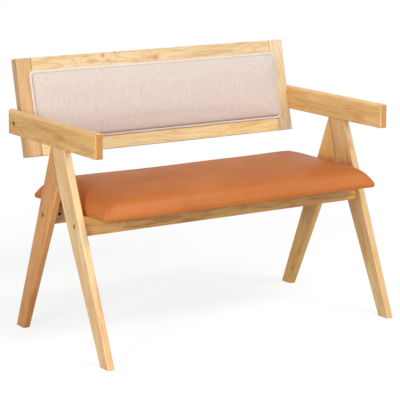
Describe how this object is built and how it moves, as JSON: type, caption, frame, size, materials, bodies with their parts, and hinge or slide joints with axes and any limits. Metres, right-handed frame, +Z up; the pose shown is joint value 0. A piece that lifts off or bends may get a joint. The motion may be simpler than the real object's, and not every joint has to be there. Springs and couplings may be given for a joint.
{
  "type": "dining bench",
  "caption": "Dining bench with tapered A-frame sides, board armrests on edge, a crowned leather seat cushion and a leaning wooden back with a padded fabric panel.",
  "frame": {"origin": "middle of the bench's bounding box at floor level", "axes": "+X along the seat towards the right as seen from the front, the front faces -Y, +Z up; left and right in the node names are as seen from the front"},
  "size_m": [1, 0.5962, 0.7954],
  "materials": {
    "pale_wood": "satin",
    "dowel_wood": "matte",
    "plywood": "matte",
    "bolt_steel": "satin",
    "tan_leather": "satin",
    "linen_fabric": "matte",
    "dust_cloth": "matte",
    "foam": "matte"
  },
  "bodies": {
    "root": {"left_front_leg": "pale_wood", "left_rear_leg": "pale_wood", "right_front_leg": "pale_wood", "right_rear_leg": "pale_wood", "leg_joint_dowels": "dowel_wood", "left_armrest": "pale_wood", "right_armrest": "pale_wood", "armrest_dowels": "dowel_wood", "front_seat_rail": "pale_wood", "rear_seat_rail": "pale_wood", "left_cross_rail": "pale_wood", "right_cross_rail": "pale_wood", "rail_bolts": "bolt_steel", "rail_barrel_nuts": "bolt_steel", "rail_dowels": "dowel_wood", "cross_rail_dowels": "dowel_wood", "seat_board": "plywood", "seat_foam": "foam", "seat_cover": "tan_leather", "seat_bottom_cloth": "dust_cloth", "seat_screws": "bolt_steel", "back_left_stile": "pale_wood", "back_right_stile": "pale_wood", "back_top_rail": "pale_wood", "back_bottom_rail": "pale_wood", "back_frame_dowels": "dowel_wood", "back_pad_board": "plywood", "back_pad_foam": "foam", "back_pad_cover": "linen_fabric", "back_pad_tee_nuts": "bolt_steel", "back_rear_board": "plywood", "back_rear_cover": "linen_fabric", "back_panel_bolts": "bolt_steel", "armrest_bolts": "bolt_steel", "armrest_inserts": "bolt_steel", "armrest_pins": "dowel_wood"}
  },
  "joints": []
}
